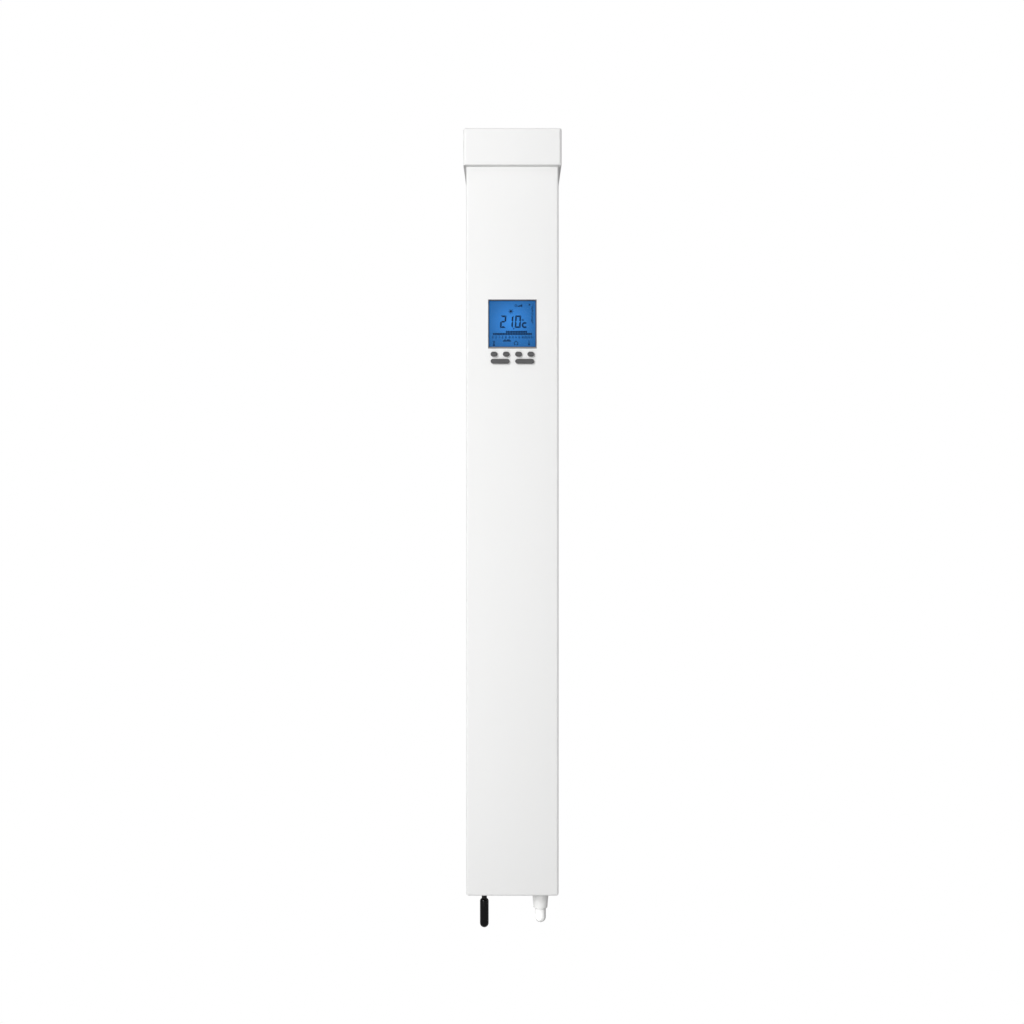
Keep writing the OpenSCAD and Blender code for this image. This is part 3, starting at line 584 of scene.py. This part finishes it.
def segmentOutlines(width, height, stroke):
    # Each bar has mitred ends, so that neighbours meet along a slanted gap
    s, w, h, m, g = stroke, width, height, height / 2, stroke * marks["segmentGap"]
    half = s / 2
    return {
        "a": [(g, h), (w - g, h), (w - s - g, h - s), (s + g, h - s)],
        "b": [(w, h - g), (w, m + g), (w - half, m + g), (w - s, m + half + g), (w - s, h - s - g)],
        "c": [(w, m - g), (w, g), (w - s, s + g), (w - s, m - half - g), (w - half, m - g)],
        "d": [(s + g, s), (w - s - g, s), (w - g, 0), (g, 0)],
        "e": [(0, g), (0, m - g), (half, m - g), (s, m - half - g), (s, s + g)],
        "f": [(0, m + g), (0, h - g), (s, h - s - g), (s, m + half + g), (half, m + g)],
        "g": [(half + g, m), (s + g, m + half), (w - s - g, m + half), (w - half - g, m),
              (w - s - g, m - half), (s + g, m - half)],
    }


def digitMarks(digit, x, z, face):  # the face gives a digit's width, height, stroke and slant
    outlines = segmentOutlines(face["width"], face["height"], face["stroke"])
    slant = face["slant"]
    return [[(x + px + slant * pz, z + pz) for px, pz in outlines[letter]] for letter in segmentsOf[digit]]


def shifted(points, x, z):
    return [(x + px, z + pz) for px, pz in points]


def barMark(x, z, width, height):
    return [[(x, z), (x + width, z), (x + width, z + height), (x, z + height)]]


def barRow(row):
    found = []
    for place, height in enumerate(row["heights"]):
        found += barMark(row["left"] + row["pitch"] * place, row["base"], row["width"], height)
    return found


def discMark(x, z, radius, count=20):
    turns = [2 * pi * i / count for i in range(count)]
    return [[(x + radius * cos(turn), z + radius * sin(turn)) for turn in turns]]


def arcMarks(x, z, radius, stroke, start, stop, count):
    # Short pieces of a ring, from the angle start to the angle stop, in degrees
    pieces = []
    turns = [radians(start + (stop - start) * i / count) for i in range(count + 1)]
    for a, b in zip(turns, turns[1:]):
        pieces.append([(x + r * cos(t), z + r * sin(t))
                       for r, t in ((radius, a), (radius, b), (radius - stroke, b), (radius - stroke, a))])
    return pieces


def lineMark(points, stroke):
    # A bent line of even width
    pieces = []
    for (x0, z0), (x1, z1) in zip(points, points[1:]):
        along = Vector((x1 - x0, z1 - z0)).normalized()
        side = Vector((-along.y, along.x)) * stroke / 2
        cap = along * stroke / 2
        start, end = Vector((x0, z0)) - cap, Vector((x1, z1)) + cap
        pieces.append([tuple(corner) for corner in (start + side, end + side, end - side, start - side)])
    return pieces


temperature = {
    "digits": [(2, -9.5), (1, -4.15), (0, 1.7)],  # each with its left edge
    "base": -2.95,
    "width": 4.5,
    "height": 9.5,
    "stroke": 1.26,
    "slant": 0.055,  # how far the digits lean
    "point": (0.95, -3.5, 0.55),  # across, up, radius
    "degree": (7.9, 3.1, 0.78),
    "degreeStroke": 0.44,
    "letter": (9.35, -0.75, 2.3),
    "opening": 46,  # half the gap of the letter C, in degrees
}


def temperatureMarks():
    found = []
    for digit, left in temperature["digits"]:
        found += digitMarks(digit, left, temperature["base"], temperature)
    opening = temperature["opening"]
    found += discMark(*temperature["point"])
    found += arcMarks(*temperature["degree"], temperature["degreeStroke"], 0, 360, 16)
    found += arcMarks(*temperature["letter"], temperature["stroke"], opening, 360 - opening, 18)
    return found


sun = {"across": -1.15, "up": 9.65, "radius": 0.95, "rays": 8, "rayStart": 1.2, "rayEnd": 1.9}


def sunMarks():
    x, z = sun["across"], sun["up"]
    found = discMark(x, z, sun["radius"])
    for ray in range(sun["rays"]):
        angle = ray * 2 * pi / sun["rays"]
        ends = [(reach * cos(angle), reach * sin(angle)) for reach in (sun["rayStart"], sun["rayEnd"])]
        found += lineMark(shifted(ends, x, z), marks["fine"])
    return found


week = {
    "left": 14.3,
    "top": 13.75,  # foot of the first day
    "pitch": 2.36,
    "width": 1.5,
    "height": 2.0,
    "stroke": 0.42,
    "slant": 0,
    "pointer": [(12.4, 15.6), (14.0, 14.7), (12.4, 13.8)],  # points to today
}


def weekMarks():
    found = [week["pointer"]]
    for day in range(7):
        found += digitMarks(day + 1, week["left"], week["top"] - week["pitch"] * day, week)
    return found


hours = {
    "left": -14.85,
    "pitch": 1.238,
    "fill": 0.85,  # share of the pitch that a block takes
    "blockHeight": 1.55,
    "lowRow": -8.3,
    "highRow": -6.65,
    "warm": range(8, 21),  # the hours that have a block in the upper row
    "rule": 0.12,  # height of the thin rules that join the blocks
    "ruleUp": 0.75,  # above the foot of a row
    "tickWidth": 0.26,
    "tickHeight": 0.6,
    "tickBase": -9.2,
    "labelBase": -10.85,
    "labelSpace": 0.14,  # between two digits
    "width": 0.96,
    "height": 1.5,
    "stroke": 0.36,
    "slant": 0,
}


def hourBlocks():
    left, pitch, warm = hours["left"], hours["pitch"], hours["warm"]
    bar = pitch * hours["fill"]
    found = []
    for hour in range(24):
        x = left + hour * pitch + (pitch - bar) / 2
        found += barMark(x, hours["lowRow"], bar, hours["blockHeight"])
        if hour in warm:
            found += barMark(x, hours["highRow"], bar, hours["blockHeight"])
    for foot, first, count in ((hours["lowRow"], 0, 24), (hours["highRow"], warm[0], len(warm))):
        found += barMark(left + first * pitch, foot + hours["ruleUp"], count * pitch, hours["rule"])
    return found


def hourLabels():
    width, space, tick = hours["width"], hours["labelSpace"], hours["tickWidth"]
    found = []
    for hour in range(0, 25, 2):  # a tick and a label at every second hour
        x = hours["left"] + hour * hours["pitch"]
        found += barMark(x - tick / 2, hours["tickBase"], tick, hours["tickHeight"])
        digits = [int(sign) for sign in str(hour)]
        start = x - (len(digits) * width + (len(digits) - 1) * space) / 2
        for place, digit in enumerate(digits):
            found += digitMarks(digit, start + place * (width + space), hours["labelBase"], hours)
    return found


clock = {
    "across": 2.65,
    "up": 14.0,
    "radius": 1.0,
    "hands": [(0, 0.5), (0, 0), (0.38, 0)],
    "handStroke": 0.26,
}
levelBars = {"left": 3.95, "base": 13.1, "width": 1.05, "pitch": 1.25, "heights": [0.9, 1.35, 1.8]}
profileBars = {
    "left": -7.1,
    "base": -13.3,
    "width": 0.9,
    "pitch": 1.02,
    "heights": [1.0, 1.7, 1.0, 1.7, 1.7, 1.0],
}


def modeMarks():
    # A small clock with three level bars beside it, at the top, and a stepped profile above the lower row
    x, z = clock["across"], clock["up"]
    found = arcMarks(x, z, clock["radius"], marks["fine"], 0, 360, 20)
    found += lineMark(shifted(clock["hands"], x, z), clock["handStroke"])
    return found + barRow(levelBars) + barRow(profileBars)


hourglass = {
    "across": -14.0,
    "up": -14.75,
    "half": 0.95,  # half the width of the two plates
    "tall": 1.4,  # from the neck to a plate
    "plate": 0.4,  # thickness
    "shoulder": 0.6,  # half the width of the glass at a plate
    "neck": 0.12,
    "sandBelow": (0.5, -1.4, -0.4),  # half width, level of the flat side, level of the tip
    "sandAbove": (0.3, 0.75, 0.1),
}


def hourglassMarks():
    x, z = hourglass["across"], hourglass["up"]
    half, tall, plate = hourglass["half"], hourglass["tall"], hourglass["plate"]
    found = barMark(x - half, z + tall, 2 * half, plate)
    found += barMark(x - half, z - tall - plate, 2 * half, plate)
    for side in (-1, 1):
        shoulder, neck = side * hourglass["shoulder"], side * hourglass["neck"]
        found += lineMark(shifted([(shoulder, tall), (neck, 0), (shoulder, -tall)], x, z), marks["fine"])
    for wide, flat, tip in (hourglass["sandBelow"], hourglass["sandAbove"]):
        found.append(shifted([(-wide, flat), (wide, flat), (0, tip)], x, z))
    return found


house = {
    "across": 2.75,
    "up": -14.3,
    "half": 1.3,  # half its width
    "door": 0.55,  # half the width of the opening
    "floor": -1.4,
    "eaves": 0.25,
    "ridge": 1.45,
    "stroke": 0.46,
}


def houseMarks():
    half, door, floor, eaves = house["half"], house["door"], house["floor"], house["eaves"]
    walls = [(-door, floor), (-half, floor), (-half, eaves), (0, house["ridge"]),
             (half, eaves), (half, floor), (door, floor)]
    return lineMark(shifted(walls, house["across"], house["up"]), house["stroke"])


thermometer = {
    "across": 12.6,
    "up": -14.2,
    "tube": 0.45,  # outer radius
    "wall": 0.2,
    "top": 1.5,
    "bottom": -0.9,
    "bulb": -1.35,
    "bulbRadius": 0.58,
    "columnWidth": 0.24,
    "columnHeight": 1.2,
}


def thermometerMarks():
    x, z = thermometer["across"], thermometer["up"]
    tube, wall, width = thermometer["tube"], thermometer["wall"], thermometer["columnWidth"]
    foot, length = z + thermometer["bottom"], thermometer["top"] - thermometer["bottom"]
    found = arcMarks(x, z + thermometer["top"], tube, wall, 0, 180, 8)
    found += barMark(x - tube, foot, wall, length)
    found += barMark(x + tube - wall, foot, wall, length)
    found += discMark(x, z + thermometer["bulb"], thermometer["bulbRadius"])
    return found + barMark(x - width / 2, foot, width, thermometer["columnHeight"])


def inkMaterial():
    material, board = startMaterial("display ink")
    grain = board.noise(900, 2)
    board.surface({
        "Base Color": board.blend(grain, marks["color"], shade(marks["color"], 1.15)),
        "Roughness": 0.45 + grain * 0.1,
        "Specular IOR Level": 0.1,
    })
    return material


def makeMarks():
    low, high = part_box("display_bezel")
    middleX, middleZ = (low.x + high.x) / 2, (low.z + high.z) / 2 + marks["lift"] * mm
    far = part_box("lcd_cell")[0].y - marks["gap"] * mm
    near = far - marks["depth"] * mm
    outlines = temperatureMarks() + sunMarks() + weekMarks() + hourBlocks() + hourLabels() + modeMarks()
    outlines += hourglassMarks() + houseMarks() + thermometerMarks()
    shape = bmesh.new()
    for outline in outlines:
        front = [shape.verts.new((middleX + x * mm, near, middleZ + z * mm)) for x, z in outline]
        back = [shape.verts.new((middleX + x * mm, far, middleZ + z * mm)) for x, z in outline]
        shape.faces.new(front)
        shape.faces.new(back[::-1])
        bridge(shape, back, front)
    addPiece("display_marks", shape, inkMaterial(), "housing")


makeMarks()
print("display marks made")


studio = {
    "floorBelow": 0.16,  # m under the column's lowest point
    "floorSpan": 14,
    "floorCells": 8,  # along each side
    "floorTone": 0.72,
    "behind": 0.40,  # light that comes from behind the column
    "above": 0.25,
    # Light from the front, from the far left at 0 to the far right at 1: dark in the middle
    "across": [(0.0, 0.08), (0.10, 0.14), (0.30, 0.22), (0.42, 0.02), (0.60, 0.01), (0.78, 0.42),
               (1.0, 0.85)],
    "backEdge": [(0.45, 0.0), (0.6, 1.0)],  # where the front's light gives way to the light from behind
    "topEdge": [(0.3, 0.0), (0.7, 1.0)],
}
white = (1, 1, 1, 1)


def makeWorld():
    world = bpy.data.worlds.new("studio")
    world.use_nodes = True
    bpy.context.scene.world = world
    board = Board(world.node_tree)
    direction = board.add("TexCoord", output="Generated")
    x, y, z = [board.part(direction, letter) for letter in "XYZ"]
    front = board.ramp(x * 0.5 + 0.5, studio["across"])
    back = board.ramp(y * 0.5 + 0.5, studio["backEdge"])
    top = board.ramp(z, studio["topEdge"])
    tone = board.blend(top, board.blend(back, front, (studio["behind"],) * 3), (studio["above"],) * 3)
    room = board.add("Background", None, {"Color": tone, "Strength": 1.0})
    backdrop = board.add("Background", None, {"Color": white, "Strength": 1.0})
    seen = board.add("LightPath", output="Is Camera Ray")
    board.add("OutputWorld", None, {"Surface": board.add("MixShader", None, {0: seen, 1: room, 2: backdrop})})


def makeFloor():
    material, board = startMaterial("pale floor")
    seen = board.add("LightPath", output="Is Camera Ray")
    dull = board.add("BsdfDiffuse", None, {"Color": (*[studio["floorTone"]] * 3, 1)})
    glow = board.add("Emission", None, {"Color": white, "Strength": 1.0})
    board.add("OutputMaterial", None, {"Surface": board.add("MixShader", None, {0: seen, 1: dull, 2: glow})})
    shape = bmesh.new()
    cells = studio["floorCells"]
    bmesh.ops.create_grid(shape, x_segments=cells, y_segments=cells, size=studio["floorSpan"] / 2)
    for vert in shape.verts:
        vert.co.z = cadBox[0].z - studio["floorBelow"]
    mesh = meshFrom("floor", shape)
    mesh.materials.append(material)
    floor = bpy.data.objects.new("floor", mesh)
    bpy.context.scene.collection.objects.link(floor)


lamps = {  # places and sizes in m, power in W
    # Close to the left front edge, so that the front grows darker to the right
    "sideStrip": {
        "place": (-0.11, -0.31, 0.22),
        "aim": (0, -0.07, 0.22),
        "size": (0.22, 1.2),
        "power": 0.765,
    },
    "keyLamp": {
        "place": (-3.3, -5.9, 3.4),
        "aim": (0, -0.078, 0.1),
        "size": (0.8, 0.8),
        "power": 259,
        "shadeless": ["top_cap"],  # nodes that cast no shadow from the lamp
    },
    # From the left, for the two white fittings under the column
    "lowLamp": {
        "place": (-0.55, -0.95, 0),
        "aim": (0.02, -0.04, -0.3),
        "size": (0.24, 0.24),
        "power": 8.6,
        "lights": ["cable_gland", "gland_plug"],  # the only nodes that the lamp lights
    },
}


def nodeGroup(name, nodes, state):
    group = bpy.data.collections.new(name)
    for node in nodes:
        group.objects.link(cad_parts[node])
    for entry in group.collection_objects:
        entry.light_linking.link_state = state
    return group


def makeLamps():
    for name, lamp in lamps.items():
        data = bpy.data.lights.new(name, "AREA")
        data.shape = "RECTANGLE"
        data.size, data.size_y = lamp["size"]
        data.energy = lamp["power"]
        light = bpy.data.objects.new(name, data)
        light.location = lamp["place"]
        towards = Vector(lamp["aim"]) - Vector(lamp["place"])
        light.rotation_euler = towards.to_track_quat("-Z", "Y").to_euler()
        light.visible_camera = False
        bpy.context.scene.collection.objects.link(light)
        links = light.light_linking
        if "shadeless" in lamp:
            links.blocker_collection = nodeGroup(name + " shadows", lamp["shadeless"], "EXCLUDE")
        if "lights" in lamp:
            links.receiver_collection = nodeGroup(name + " targets", lamp["lights"], "INCLUDE")


makeWorld()
makeFloor()
makeLamps()
bpy.context.scene.view_settings.view_transform = "Standard"
print("studio ready")
